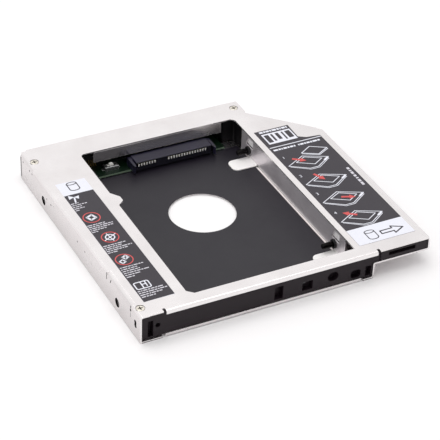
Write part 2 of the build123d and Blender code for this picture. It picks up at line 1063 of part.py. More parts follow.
with BuildPart() as mode_switch_base:
    extrude(
        patch(
            level(board_top),
            switch_x - switch_length / 2 + shell_sheet,
            switch_x + switch_length / 2 - shell_sheet,
            switch_y - switch_width / 2 + shell_sheet,
            switch_y + switch_width / 2 - shell_sheet,
        ),
        amount=base_height,
    )
    for number in range(4):
        pin_x = switch_x - 2.1 + number * 1.4
        extrude(
            patch(
                level(board_top),
                pin_x - 0.25,
                pin_x + 0.25,
                switch_y + switch_width / 2 - 0.5,
                switch_y + switch_width / 2 + 0.9,
            ),
            amount=0.25,
        )

mode_switch_base.part.label = "mode_switch_base"
export_step(mode_switch_base.part, "parts/mode_switch_base.step")

with BuildPart() as mode_switch_shell:
    extrude(
        patch(
            level(board_top),
            switch_x - switch_length / 2,
            switch_x + switch_length / 2,
            switch_y - switch_width / 2,
            switch_y + switch_width / 2,
        ),
        amount=switch_height,
    )
    chamfer(mode_switch_shell.faces().sort_by(Axis.Z)[-1].edges(), length=0.2)
    extrude(
        patch(
            level(board_top),
            switch_x - switch_length / 2 + shell_sheet,
            switch_x + switch_length / 2 - shell_sheet,
            switch_y - switch_width / 2 + shell_sheet,
            switch_y + switch_width / 2 - shell_sheet,
        ),
        amount=switch_height - shell_sheet,
        mode=Mode.SUBTRACT,
    )
    extrude(
        patch(
            level(board_top),
            switch_x - knob_width / 2 - knob_travel - knob_fit,
            switch_x + knob_width / 2 + knob_travel + knob_fit,
            switch_y - 0.5 - knob_fit,
            switch_y + 0.5 + knob_fit,
        ),
        amount=5.0,
        mode=Mode.SUBTRACT,
    )
    extrude(
        patch(
            level(board_top),
            switch_x - 2.35,
            switch_x + 2.35,
            switch_y + switch_width / 2 - 0.4,
            switch_y + switch_width / 2 + 0.2,
        ),
        amount=0.3,
        mode=Mode.SUBTRACT,
    )
    for end in (-1, 1):
        near = switch_x + end * (switch_length / 2 - 0.2)
        far = switch_x + end * (switch_length / 2 + 1.1)
        extrude(
            patch(level(board_top), min(near, far), max(near, far), switch_y - 0.4,
                  switch_y + 1.1),
            amount=0.2,
        )
        extrude(
            patch(
                level(board_top),
                switch_x - switch_length / 2 + shell_sheet,
                switch_x + switch_length / 2 - shell_sheet,
                switch_y - switch_width / 2 + shell_sheet,
                switch_y + switch_width / 2 - shell_sheet,
            ),
            amount=1.0,
            mode=Mode.SUBTRACT,
        )

mode_switch_shell.part.label = "mode_switch_shell"
export_step(mode_switch_shell.part, "parts/mode_switch_shell.step")

with BuildPart() as mode_switch_knob:
    plate_top = switch_height - shell_sheet - 0.05
    extrude(
        patch(
            level(board_top + base_height),
            switch_x - plate_length / 2,
            switch_x + plate_length / 2,
            switch_y - 0.95,
            switch_y + 0.95,
        ),
        amount=plate_top - base_height,
    )
    extrude(
        patch(
            level(board_top + base_height),
            switch_x - knob_width / 2,
            switch_x + knob_width / 2,
            switch_y - 0.5,
            switch_y + 0.5,
        ),
        amount=switch_height - base_height + 1.0,
    )
    knob_face = mode_switch_knob.faces().sort_by(Axis.Z)[-1]
    chamfer(knob_face.edges(), length=0.15)

mode_switch_knob.part.label = "mode_switch_knob"
export_step(mode_switch_knob.part, "parts/mode_switch_knob.step")


# Plug towards the computer: open shroud with two tongues
host_front = depth - 7.0
host_rear = depth - 0.1
host_height = 4.6
host_signal_x = host_left + 3.2
host_power_x = host_right - 3.6 - 5 * 1.0
tongue_low = board_top + 1.6
tongue_high = tongue_low + 1.0
host_contact_xs = [host_signal_x + pitch * n for n in range(7)]
host_contact_xs += [host_power_x + 1.0 * n for n in range(6)]

with BuildPart() as host_connector:
    extrude(
        patch(level(board_top), host_left, host_right, host_front, host_rear),
        amount=host_height,
    )
    chamfer(host_connector.edges().filter_by(Axis.Y).group_by(Axis.Z)[-1], length=0.4)
    extrude(
        patch(
            facing(host_rear + 1.0),
            host_left + 0.8,
            host_right - 0.8,
            board_top + 0.8,
            board_top + host_height - 0.8,
        ),
        amount=1.0 + host_rear - host_front - 1.6,
        mode=Mode.SUBTRACT,
    )
    for left, right in (
        (host_signal_x - 0.9, host_signal_x + 6 * pitch + 0.9),
        (host_power_x - 0.9, host_power_x + 5.9),
    ):
        extrude(
            patch(facing(host_rear - 0.6), left, right, tongue_low, tongue_high),
            amount=host_rear - 0.6 - host_front - 1.0,
        )
    for x in host_contact_xs:
        extrude(
            patch(
                facing(host_front - 1.0),
                x - 0.27,
                x + 0.27,
                tongue_high,
                tongue_high + contact_sheet + 0.04,
            ),
            amount=-3.0,
            mode=Mode.SUBTRACT,
        )

host_connector.part.label = "host_connector"
export_step(host_connector.part, "parts/host_connector.step")

with BuildPart() as host_contacts:
    host_contact_z = tongue_high + contact_sheet / 2
    for x in host_contact_xs:
        extrude(
            strip(
                side(x - 0.25),
                [
                    (host_rear - 1.2, host_contact_z),
                    (host_front - 0.25, host_contact_z),
                    (host_front - 0.25, foot_z),
                    (host_front - 1.3, foot_z),
                ],
                contact_sheet,
            ),
            amount=0.5,
        )

host_contacts.part.label = "host_contacts"
export_step(host_contacts.part, "parts/host_contacts.step")


# Parts soldered on the board
chip_x = host_right + 31.0
chip_y = board_rear - 5.0
chip_half = 2.4

with BuildPart() as control_chip:
    extrude(
        patch(
            level(board_top + 0.1),
            chip_x - chip_half,
            chip_x + chip_half,
            chip_y - chip_half,
            chip_y + chip_half,
        ),
        amount=1.2,
    )
    chamfer(control_chip.faces().sort_by(Axis.Z)[-1].edges(), length=0.2)
    for number in range(7):
        lead_x = chip_x - 1.95 + number * 0.65
        extrude(
            patch(
                level(board_top),
                lead_x - 0.12,
                lead_x + 0.12,
                chip_y - chip_half - 0.8,
                chip_y + chip_half + 0.8,
            ),
            amount=0.2,
        )

control_chip.part.label = "control_chip"
export_step(control_chip.part, "parts/control_chip.step")

with BuildPart() as board_capacitors:
    with BuildSketch(level(board_top)):
        for number in range(4):
            with Locations((host_right + 10.4 + number * 4.2, board_rear - 4.0)):
                Rectangle(2.0, 1.25)
    extrude(amount=1.0)

board_capacitors.part.label = "board_capacitors"
export_step(board_capacitors.part, "parts/board_capacitors.step")

with BuildPart() as board_resistors:
    with BuildSketch(level(board_top)):
        for number in range(5):
            with Locations((host_right + 6.9 + number * 3.0, board_rear - 7.0)):
                Rectangle(1.6, 0.8)
    extrude(amount=0.5)

board_resistors.part.label = "board_resistors"
export_step(board_resistors.part, "parts/board_resistors.step")


# Cover screws with a cross recess
with BuildPart() as cover_screws:
    extrude(discs(level(dimple_floor), cover_screw_spots, screw_head_radius), amount=screw_head)
    chamfer(cover_screws.faces().sort_by(Axis.Z)[-3:].edges(), length=0.2)
    with BuildSketch(level(dimple_floor + 0.15)):
        with Locations(*cover_screw_spots):
            Rectangle(2.1, 0.5)
            Rectangle(0.5, 2.1)
    extrude(amount=1.0, mode=Mode.SUBTRACT)
    extrude(
        studs(level(dimple_floor - 2.8), cover_screw_spots, screw_radius),
        amount=2.8,
    )

cover_screws.part.label = "cover_screws"
export_step(cover_screws.part, "parts/cover_screws.step")


# Printed labels on the left strip and on the wing
label_left = 4.4
label_right = bay_left - 5.3
label_lean = 0.75
label_front = front_pin_y - 13.6
label_rear = rear_pin_y - 2.5
wing_label_left = bay_right + 2.75
wing_label_right = width - 3.3
wing_label_front = bay_front + 0.65
wing_label_field = wing_chamfer_front - 3.9

with BuildPart() as left_label:
    extrude(
        outline(
            level(cover_top),
            [
                (label_left + label_lean, label_front),
                (label_right + label_lean, label_front),
                (label_right, label_rear),
                (label_left, label_rear),
            ],
        ),
        amount=label_thickness,
    )

left_label.part.label = "left_label"
export_step(left_label.part, "parts/left_label.step")

with BuildPart() as right_label:
    extrude(
        outline(
            level(cover_top),
            [
                (wing_label_left, wing_label_front),
                (wing_label_right, wing_label_front),
                (wing_label_right, wing_label_field),
                (wing_label_right - 6.3, wing_label_field + 0.8),
                (wing_label_right - 9.5, wing_label_field + 2.8),
                (wing_label_right - 9.2, wing_label_field + 13.0),
                (wing_label_left, wing_label_field + 13.0),
            ],
        ),
        amount=label_thickness,
    )
    front_corner = right_label.edges().filter_by(Axis.Z).sort_by(Axis.Y)[:2].sort_by(Axis.X)[0]
    fillet(front_corner, radius=4.0)

right_label.part.label = "right_label"
export_step(right_label.part, "parts/right_label.step")
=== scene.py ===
import json
import math

import bpy
from mathutils import Matrix, Vector

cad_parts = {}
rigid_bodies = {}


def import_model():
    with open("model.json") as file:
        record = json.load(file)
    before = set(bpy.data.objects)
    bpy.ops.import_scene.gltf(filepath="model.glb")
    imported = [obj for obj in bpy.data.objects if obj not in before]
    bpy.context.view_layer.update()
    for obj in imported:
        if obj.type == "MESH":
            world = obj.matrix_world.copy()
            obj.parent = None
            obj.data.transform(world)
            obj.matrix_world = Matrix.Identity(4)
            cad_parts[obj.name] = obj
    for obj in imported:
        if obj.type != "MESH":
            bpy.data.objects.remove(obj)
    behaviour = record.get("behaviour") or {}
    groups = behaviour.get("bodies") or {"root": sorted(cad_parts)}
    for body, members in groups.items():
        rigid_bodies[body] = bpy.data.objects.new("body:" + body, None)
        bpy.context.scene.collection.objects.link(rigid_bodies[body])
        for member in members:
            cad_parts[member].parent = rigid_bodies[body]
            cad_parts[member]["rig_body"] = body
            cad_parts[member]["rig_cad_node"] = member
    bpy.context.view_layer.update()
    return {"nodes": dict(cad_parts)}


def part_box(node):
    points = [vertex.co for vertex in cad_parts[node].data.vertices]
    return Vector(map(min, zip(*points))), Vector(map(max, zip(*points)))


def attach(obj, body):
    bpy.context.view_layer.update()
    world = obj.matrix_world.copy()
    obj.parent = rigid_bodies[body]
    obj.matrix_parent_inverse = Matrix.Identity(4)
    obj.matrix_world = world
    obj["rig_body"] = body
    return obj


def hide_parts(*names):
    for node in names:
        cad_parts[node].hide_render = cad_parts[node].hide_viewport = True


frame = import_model()

MM = 0.001

# Half of the caddy's width and depth, because the shared frame starts in its middle
HALF_WIDTH = 64.0
HALF_DEPTH = 63.05

# Heights on the labels; strokes that cross differ by a layer, so that no two tops share a plane
BACKING_TOP = 12.64
FIELD_TOP = 12.67
INK_TOP = 12.70
LAYER = 0.002

# The left label leans: its rear end lies this far to one side of its front end
LEFT_LEAN = 0.75

# Places of the solids that the finishes follow
COVER_TOP = 12.6
DIMPLE_DEPTH = 0.5
SCREW_HEAD = 0.45
SCREW_TOP = COVER_TOP - DIMPLE_DEPTH + SCREW_HEAD
BOARD_FRONT = 45.85

# Where a finish changes: an axis of the shared frame, and the millimetres where it starts and ends
# Painted shade down the cover's folded walls and towards their foot
COVER_FOLD_SHADE = ("Z", 12.1, 11.5)
WALL_FOOT_SHADE = ("Z", 10.0, 3.0)
COVER_WING = ("X", 34.0, 46.0)
# Painted highlight on the cover's front lip
COVER_LIP_HIGHLIGHT = ("Y", -62.9, -63.0)
# Painted highlight on the bracket's foot
BRACKET_FOOT_HIGHLIGHT = ("Z", 1.95, 1.75)
# Painted shade in the screw recesses
SCREW_RECESS_SHADE = ("Z", SCREW_TOP - 0.1, SCREW_TOP - 0.28)
# Painted shade on the rail's left end
RAIL_END_SHADE = ("X", -63.0, -63.2)
BOARD_EDGE = ("Y", BOARD_FRONT + 0.04, BOARD_FRONT + 0.01)

# Zones with a paint of their own: the low and the high end along each axis, in millimetres
# Painted shade in the seam gap at the rear of the left wall
REAR_SEAM_SHADE = (("X", -65.0, -63.9), ("Y", 60.6, 61.6), ("Z", 1.3, 11.0))
# Painted shade in the holes of the left wall and around two small holes near its front
HOLE_WALL_SHADE = (("X", -63.93, -61.0), ("Y", -62.4, 62.3), ("Z", -1.0, 10.5))
LOWER_FRONT_HOLE_SHADE = (("X", -65.0, -61.0), ("Y", -54.35, -53.35), ("Z", 9.3, 10.4))
UPPER_FRONT_HOLE_SHADE = (("X", -65.0, -61.0), ("Y", -54.35, -53.35), ("Z", 10.9, 12.0))
# Painted shadow under the tray's front foot
TRAY_FRONT_FOOT_SHADOW = (("Y", -64.0, -62.5), ("Z", -1.0, 0.3))
# Painted highlight on the tray's strip beside the bracket
TRAY_STRIP_HIGHLIGHT = (("X", 32.0, 32.75), ("Y", -60.0, 27.0), ("Z", 0.2, 1.5))
# Painted highlight along the film's right edge
FILM_EDGE_HIGHLIGHT = (("X", 31.78, 33.0), ("Y", -60.0, 27.0))
# Painted shade on the connector's face in its mouth
CONNECTOR_MOUTH_SHADE = (("Y", 43.0, 43.85), ("X", -18.0, 28.0))
ZONE_SOFTNESS = 0.04

# A noise pattern keeps mostly between these two values
PATTERN_LOW = 0.3
PATTERN_HIGH = 0.7

# An edge is where the eased and the true normal part: the cosine at its border and along its middle
RIM_BORDER = 0.985
RIM_MIDDLE = 0.87

# How far the roughness of a surface strays to the smooth and to the rough side
SHEET_SMOOTHER, SHEET_ROUGHER = 0.02, 0.03
PART_SMOOTHER, PART_ROUGHER = 0.06, 0.08

# Radii of the eased edges and of the rims with a painted highlight, in metres
SHEET_EDGE = 0.0002
TURNED_EDGE = 0.00008
MOULDED_EDGE = 0.00012
WIDE_RIM = 0.0003
NARROW_RIM = 0.0002

# Grains of moulded surfaces, to the metre
COARSE_GRAIN = 1800.0
FINE_GRAIN = 2600.0
CERAMIC_GRAIN = 3400.0

# Sockets of a colour mix: its share, the colour so far, the new colour and the result
MIX_SHARE, MIX_OLD, MIX_NEW = 0, 6, 7
MIX_RESULT = 2


# Parts that the finishes are built from


def tone(red, green, blue):
    """A colour as the eye reads it, 0 to 255 each, as the linear colour that a shader wants."""
    linear = []
    for value in (red, green, blue):
        share = value / 255
        linear.append(share / 12.92 if share <= 0.04045 else ((share + 0.055) / 1.055) ** 2.4)
    return (*linear, 1.0)


def shader_of(finish):
    """The shader that everything in a finish leads to."""
    return finish.node_tree.nodes["Principled BSDF"]


def start_finish(name, colour, roughness, metallic=0.0):
    """A new finish with its shader, colour and gloss."""
    finish = bpy.data.materials.new(name)
    finish.use_nodes = True
    shader = shader_of(finish)
    shader.inputs["Base Color"].default_value = tone(*colour)
    shader.inputs["Roughness"].default_value = roughness
    shader.inputs["Metallic"].default_value = metallic
    finish.diffuse_color = tone(*colour)
    return finish


def set_sheen(finish, share):
    """How much a plain surface mirrors, 0.5 for common plastic."""
    shader_of(finish).inputs["Specular IOR Level"].default_value = share


def feed(finish, value, name):
    """The shader takes one of its inputs from a value."""
    finish.node_tree.links.new(value, shader_of(finish).inputs[name])


def object_place(finish):
    """Where a point lies in the shared frame, in metres."""
    return finish.node_tree.nodes.new("ShaderNodeTexCoord").outputs["Object"]


def spread(finish, value, start=0.0, end=1.0, low=0.0, high=1.0):
    """The value's run from start to end becomes one from low to high, and is level outside it."""
    span = finish.node_tree.nodes.new("ShaderNodeMapRange")
    for name, limit in (("From Min", start), ("From Max", end), ("To Min", low), ("To Max", high)):
        span.inputs[name].default_value = limit
    finish.node_tree.links.new(value, span.inputs["Value"])
    return span.outputs["Result"]


def cloud(finish, scale, detail, stretch=(1.0, 1.0, 1.0)):
    """Soft uneven patches over the piece, scale of them to the metre."""
    nodes = finish.node_tree.nodes
    links = finish.node_tree.links
    mapping = nodes.new("ShaderNodeMapping")
    mapping.inputs["Scale"].default_value = stretch
    noise = nodes.new("ShaderNodeTexNoise")
    noise.inputs["Scale"].default_value = scale
    noise.inputs["Detail"].default_value = detail
    noise.inputs["Roughness"].default_value = 0.6
    links.new(object_place(finish), mapping.inputs["Vector"])
    links.new(mapping.outputs["Vector"], noise.inputs["Vector"])
    return noise.outputs["Fac"]


def colour_by(finish, pattern, low, high, start=PATTERN_LOW, end=PATTERN_HIGH):
    """Colour runs from low to high over the pattern."""
    ramp = finish.node_tree.nodes.new("ShaderNodeValToRGB")
    ramp.color_ramp.elements[0].position = start
    ramp.color_ramp.elements[0].color = tone(*low)
    ramp.color_ramp.elements[1].position = end
    ramp.color_ramp.elements[1].color = tone(*high)
    finish.node_tree.links.new(pattern, ramp.inputs["Fac"])
    feed(finish, ramp.outputs["Color"], "Base Color")


def gloss_by(finish, pattern, low, high):
    """Roughness runs from low to high over the pattern."""
    feed(finish, spread(finish, pattern, PATTERN_LOW, PATTERN_HIGH, low, high), "Roughness")


def relief_by(finish, pattern, depth, strength, edge=0.0):
    """The surface rises and falls by the pattern, depth in metres, with edges eased by a small round."""
    nodes = finish.node_tree.nodes
    links = finish.node_tree.links
    bump = nodes.new("ShaderNodeBump")
    bump.inputs["Strength"].default_value = strength
    bump.inputs["Distance"].default_value = depth
    links.new(pattern, bump.inputs["Height"])
    if edge:
        eased = nodes.new("ShaderNodeBevel")
        eased.samples = 6
        eased.inputs["Radius"].default_value = edge
        links.new(eased.outputs["Normal"], bump.inputs["Normal"])
    feed(finish, bump.outputs["Normal"], "Normal")


def by_place(finish, axis, start, end):
    """0 at the start and 1 at the end of a stretch of one axis, in millimetres in the shared frame."""
    split = finish.node_tree.nodes.new("ShaderNodeSeparateXYZ")
    finish.node_tree.links.new(object_place(finish), split.inputs["Vector"])
    return spread(finish, split.outputs[axis], start * MM, end * MM)


def combine(finish, operation, first, second):
    """One mask from two of them."""
    step = finish.node_tree.nodes.new("ShaderNodeMath")
    step.operation = operation
    finish.node_tree.links.new(first, step.inputs[0])
    finish.node_tree.links.new(second, step.inputs[1])
    return step.outputs[0]


def zone(finish, *spans):
    """1 inside all of the spans, each an axis with its low and high end, and 0 outside."""
    mask = None
    for axis, low, high in spans:
        for place, step in ((low, ZONE_SOFTNESS), (high, -ZONE_SOFTNESS)):
            side = by_place(finish, axis, place - step, place + step)
            mask = side if mask is None else combine(finish, "MULTIPLY", mask, side)
    return mask


def by_edge(finish, radius):
    """1 on the sharp edges of the piece and 0 on its flat faces."""
    nodes = finish.node_tree.nodes
    links = finish.node_tree.links
    eased = nodes.new("ShaderNodeBevel")
    eased.samples = 8
    eased.inputs["Radius"].default_value = radius
    face = nodes.new("ShaderNodeNewGeometry")
    match = nodes.new("ShaderNodeVectorMath")
    match.operation = "DOT_PRODUCT"
    links.new(eased.outputs["Normal"], match.inputs[0])
    links.new(face.outputs["True Normal"], match.inputs[1])
    return spread(finish, match.outputs["Value"], RIM_BORDER, RIM_MIDDLE)


def repaint(finish, mask, colour):
    """Where the mask is 1, the colour takes over from what the finish has so far."""
    links = finish.node_tree.links
    so_far = shader_of(finish).inputs["Base Color"].links[0].from_socket
    mix = finish.node_tree.nodes.new("ShaderNodeMix")
    mix.data_type = "RGBA"
    mix.inputs[MIX_NEW].default_value = tone(*colour)
    links.new(mask, mix.inputs[MIX_SHARE])
    links.new(so_far, mix.inputs[MIX_OLD])
    feed(finish, mix.outputs[MIX_RESULT], "Base Color")


def darken(finish, mask, share):
    """Where the mask is 1, the colour is only a share of itself."""
    links = finish.node_tree.links
    so_far = shader_of(finish).inputs["Base Color"].links[0].from_socket
    scale = finish.node_tree.nodes.new("ShaderNodeVectorMath")
    scale.operation = "SCALE"
    links.new(so_far, scale.inputs[0])
    links.new(spread(finish, mask, low=1.0, high=share), scale.inputs["Scale"])
    feed(finish, scale.outputs["Vector"], "Base Color")


def dull_by(finish, mask, shine, plain):
    """The metal share goes from shine to plain where the mask is 1."""
    feed(finish, spread(finish, mask, low=shine, high=plain), "Metallic")


# Finishes of the sheet metal pieces


def satin_sheet(name, low, high, roughness, shine=1.0):
    """Rolled and brushed sheet: long faint streaks from front to rear over soft patches."""
    finish = start_finish(name, high, roughness, metallic=shine)
    streaks = cloud(finish, scale=2600.0, detail=3.0, stretch=(1.0, 0.02, 1.0))
    patches = cloud(finish, scale=70.0, detail=5.0)
    colour_by(finish, patches, low, high)
    gloss_by(finish, patches, roughness - SHEET_SMOOTHER, roughness + SHEET_ROUGHER)
    relief_by(finish, streaks, depth=0.000004, strength=0.5, edge=SHEET_EDGE)
    return finish


def cover_metal():
    """Cover: painted shade down its folded walls, darker on the wing, painted highlights on edges and lip,
    painted shade in holes, seam and front holes.
    """
    finish = satin_sheet("cover_sheet_metal", (232, 227, 227), (239, 235, 235), 0.25)
    # Painted shade down the folded walls and towards their foot
    darken(finish, by_place(finish, *COVER_FOLD_SHADE), share=0.84)
    darken(finish, by_place(finish, *WALL_FOOT_SHADE), share=0.93)
    darken(finish, by_place(finish, *COVER_WING), share=0.94)
    # Painted shade in the seam gap at the rear of the left wall
    repaint(finish, zone(finish, *REAR_SEAM_SHADE), (16, 14, 16))
    # Painted highlight on the cover's edges and front lip
    painted_highlight = combine(finish, "MAXIMUM", by_edge(finish, WIDE_RIM), by_place(finish, *COVER_LIP_HIGHLIGHT))
    repaint(finish, painted_highlight, (246, 243, 243))
    dull_by(finish, painted_highlight, shine=1.0, plain=0.35)
    # Painted shade in the holes of the left wall and around two small holes near its front
    for shade_zone in (HOLE_WALL_SHADE, LOWER_FRONT_HOLE_SHADE, UPPER_FRONT_HOLE_SHADE):
        repaint(finish, zone(finish, *shade_zone), (14, 12, 14))
    return finish


def tray_metal():
    """Tray: painted highlights on its cut edges and on the strip beside the bracket, and a painted shadow
    under its front foot.
    """
    finish = satin_sheet("tray_sheet_metal", (222, 217, 218), (234, 230, 231), 0.28)
    # Painted highlight on the cut edges
    repaint(finish, by_edge(finish, NARROW_RIM), (248, 245, 245))
    # Painted shadow under the front foot
    darken(finish, zone(finish, *TRAY_FRONT_FOOT_SHADOW), share=0.1)
    # Painted highlight on the strip beside the bracket, white and barely metal
    strip_highlight = zone(finish, *TRAY_STRIP_HIGHLIGHT)
    repaint(finish, strip_highlight, (255, 250, 248))
    dull_by(finish, strip_highlight, shine=1.0, plain=0.05)
    return finish


def bracket_metal():
    """Sliding bracket: duller than the case, with a painted highlight on its foot and its cut edges."""
    finish = satin_sheet("bracket_sheet_metal", (226, 219, 224), (246, 241, 244), 0.34)
    # Painted highlight on the foot and the cut edges, which are also made less metal
    foot = by_place(finish, *BRACKET_FOOT_HIGHLIGHT)
    dull_by(finish, foot, shine=0.7, plain=0.08)
    painted_highlight = combine(finish, "MAXIMUM", foot, by_edge(finish, NARROW_RIM))
    repaint(finish, painted_highlight, (252, 250, 248))
    return finish


# Finishes of the turned and formed metal pieces


def turned_metal(name, low, high, roughness, shine=0.95):
    """Plated turned or formed part, with fine wear."""
    finish = start_finish(name, high, roughness, metallic=shine)
    wear = cloud(finish, scale=900.0, detail=4.0)
    colour_by(finish, wear, low, high)
    gloss_by(finish, wear, roughness - PART_SMOOTHER, roughness + PART_ROUGHER)
    relief_by(finish, wear, depth=0.000006, strength=0.6, edge=TURNED_EDGE)
    return finish


def screw_nickel():
    """Cover screws: bright heads with painted shade in the recess."""
    finish = turned_metal("nickel_screws", (222, 216, 204), (238, 232, 220), 0.3)
    # Painted shade in the recess
    darken(finish, by_place(finish, *SCREW_RECESS_SHADE), share=0.03)
    return finish


def switch_can_metal():
    """Shell of the mode switch: grey with a painted highlight on its cut edges."""
    finish = turned_metal("switch_can_metal", (136, 136, 138), (160, 160, 162), 0.28)
    # Painted highlight on the cut edges
    repaint(finish, by_edge(finish, NARROW_RIM), (250, 250, 246))
    return finish


# Finishes of the plastic and ceramic pieces


def moulded_plastic(name, low, high, roughness, grain=COARSE_GRAIN, sheen=0.45):
    """Moulded plastic with a fine spark grain and slightly uneven colour."""
    finish = start_finish(name, high, roughness)
    set_sheen(finish, sheen)
    pits = cloud(finish, scale=grain, detail=2.0)
    patches = cloud(finish, scale=160.0, detail=4.0)
    colour_by(finish, patches, low, high)
    gloss_by(finish, patches, roughness - PART_SMOOTHER, roughness + PART_ROUGHER)
    relief_by(finish, pits, depth=0.00001, strength=0.6, edge=MOULDED_EDGE)
    return finish


def rail_black():
    """Front rail: black, with painted shade on its left end."""
    finish = moulded_plastic("rail_black_plastic", (22, 14, 20), (29, 20, 26), 0.46, sheen=0.26)
    # Painted shade on the left end
    darken(finish, by_place(finish, *RAIL_END_SHADE), share=0.2)
    return finish


def connector_black():
    """Drive connector: bluish black, with painted shade on its face in the mouth."""
    finish = moulded_plastic("connector_black_plastic", (22, 20, 38), (32, 30, 50), 0.34, FINE_GRAIN)
    # Painted shade on the face in the mouth
    darken(finish, zone(finish, *CONNECTOR_MOUTH_SHADE), share=0.3)
    return finish


def black_film():
    """Black insulating film: dusty, faintly rippled, with a painted highlight along its right edge."""
    finish = start_finish("black_film", (20, 19, 22), 0.44)
    set_sheen(finish, 0.42)
    dust = cloud(finish, scale=5200.0, detail=2.0)
    patches = cloud(finish, scale=45.0, detail=5.0)
    ripples = cloud(finish, scale=90.0, detail=2.0)
    colour_by(finish, dust, (16, 12, 22), (25, 20, 31), start=0.35, end=0.75)
    gloss_by(finish, patches, low=0.4, high=0.52)
    relief_by(finish, ripples, depth=0.00003, strength=0.25)
    # Painted highlight along the right edge
    repaint(finish, zone(finish, *FILM_EDGE_HIGHLIGHT), (232, 226, 226))
    return finish


def solder_mask():
    """Green board lacquer over narrow copper tracks, with a pale front edge."""
    finish = start_finish("green_board_lacquer", (22, 62, 36), 0.32)
    set_sheen(finish, 0.3)
    tracks = finish.node_tree.nodes.new("ShaderNodeTexBrick")
    tracks.inputs["Scale"].default_value = 420.0
    tracks.inputs["Mortar Size"].default_value = 0.12
    tracks.inputs["Mortar Smooth"].default_value = 0.2
    tracks.inputs["Color1"].default_value = tone(3, 10, 6)
    tracks.inputs["Color2"].default_value = tone(4, 14, 8)
    tracks.inputs["Mortar"].default_value = tone(8, 27, 14)
    finish.node_tree.links.new(object_place(finish), tracks.inputs["Vector"])
    feed(finish, tracks.outputs["Color"], "Base Color")
    gloss_by(finish, cloud(finish, scale=300.0, detail=3.0), low=0.26, high=0.4)
    relief_by(finish, tracks.outputs["Fac"], depth=0.00003, strength=0.6)
    repaint(finish, by_place(finish, *BOARD_EDGE), (122, 142, 122))
    return finish


def lens_plastic():
    """Clear smoked lens of the indicator light."""
    finish = start_finish("smoked_lens", (70, 70, 74), 0.15)
    shader_of(finish).inputs["Coat Weight"].default_value = 0.6
    patches = cloud(finish, scale=500.0, detail=3.0)
    colour_by(finish, patches, (58, 58, 62), (84, 84, 88))
    gloss_by(finish, patches, low=0.1, high=0.22)
    relief_by(finish, patches, depth=0.00001, strength=0.4)
    return finish


# Finishes of the printed labels


def label_ink(name, low, high):
    """Printed coat on a plastic label: flat ink with a fine uneven gloss."""
    finish = start_finish(name, high, 0.42)
    set_sheen(finish, 0.45)
    speckle = cloud(finish, scale=2400.0, detail=3.0)
    patches = cloud(finish, scale=60.0, detail=4.0)
    colour_by(finish, speckle, low, high)
    gloss_by(finish, patches, low=0.36, high=0.48)
    relief_by(finish, speckle, depth=0.000004, strength=0.5)
    return finish


# The finish of each piece


# Near-white, barely metal sheet of the window flaps: a painted highlight
flap_highlight_sheet = satin_sheet("bracket_flap_painted_highlight", (250, 248, 248), (254, 252, 252), 0.5, shine=0.05)
gold_contacts = turned_metal("gold_contacts", (206, 186, 140), (228, 208, 164), 0.3)
# Near-white, barely metal tips on the gold contacts: a painted highlight
contact_tip_highlight = turned_metal("contact_tip_highlight", (246, 244, 238), (253, 251, 246), 0.3, shine=0.1)
label_white = label_ink("label_white_ink", (230, 232, 241), (239, 240, 249))
label_black = label_ink("label_black_ink", (36, 31, 39), (46, 40, 49))
label_red = label_ink("label_red_ink", (200, 72, 72), (218, 88, 86))
label_grey = label_ink("label_grey_ink", (206, 204, 212), (222, 220, 228))

node_finishes = {
    "top_cover": cover_metal(),
    "bottom_tray": tray_metal(),
    "insulating_sheet": black_film(),
    "front_rail": rail_black(),
    "indicator_light": lens_plastic(),
    "side_bracket": bracket_metal(),
    "drive_pins": turned_metal("black_steel_pins", (16, 15, 15), (28, 26, 26), 0.2),
    "pin_collars": moulded_plastic("collar_black_plastic", (14, 13, 15), (22, 21, 23), 0.36, FINE_GRAIN),
    "guide_rivets": turned_metal("steel_rivets", (180, 178, 178), (204, 202, 202), 0.32),
    "left_bracket": satin_sheet("left_bracket_sheet_metal", (52, 50, 52), (68, 66, 68), 0.36),
    "rear_corner_block": moulded_plastic("corner_block_plastic", (7, 6, 8), (12, 10, 13), 0.44, sheen=0.2),
    "circuit_board": solder_mask(),
    "board_screws": turned_metal("board_screw_steel", (176, 174, 172), (204, 202, 200), 0.3),
    "drive_connector": connector_black(),
    "signal_contacts": gold_contacts,
    "power_contacts": gold_contacts,
    "mode_switch_base": moulded_plastic("switch_base_plastic", (16, 15, 17), (24, 23, 25), 0.42, FINE_GRAIN),
    "mode_switch_shell": switch_can_metal(),
    "mode_switch_knob": moulded_plastic(
        "switch_knob_plastic", (240, 239, 234), (250, 249, 244), 0.38, FINE_GRAIN
    ),
    "host_connector": moulded_plastic("host_connector_plastic", (20, 19, 22), (30, 29, 32), 0.4, FINE_GRAIN),
    "host_contacts": turned_metal("host_contact_metal", (120, 104, 70), (146, 128, 88), 0.36),
    "control_chip": moulded_plastic("chip_black_resin", (22, 22, 24), (32, 32, 34), 0.5, CERAMIC_GRAIN),
    "board_capacitors": moulded_plastic(
        "capacitor_ceramic", (128, 104, 78), (150, 124, 94), 0.4, CERAMIC_GRAIN
    ),
    "board_resistors": moulded_plastic("resistor_ceramic", (24, 24, 28), (40, 40, 44), 0.36, CERAMIC_GRAIN),
    "cover_screws": screw_nickel(),
    "left_label": label_white,
    "right_label": label_white,
}
for node_name, node_finish in node_finishes.items():
    for holder in frame["nodes"][node_name].material_slots:
        holder.material = node_finish


# Shaping of new pieces


def spot_of(x, y, z):
    """A place counted in millimetres from the front left corner, as metres in the shared frame."""
    return [value * MM for value in (x - HALF_WIDTH, y - HALF_DEPTH, z)]


def only(piece):
    """The piece is the only one selected."""
    bpy.ops.object.select_all(action="DESELECT")
    piece.select_set(True)
    bpy.context.view_layer.objects.active = piece


def settle(piece):
    """The piece's place goes into its mesh, and its object stands at the origin."""
    only(piece)
    bpy.ops.object.transform_apply(location=True, rotation=True, scale=True)


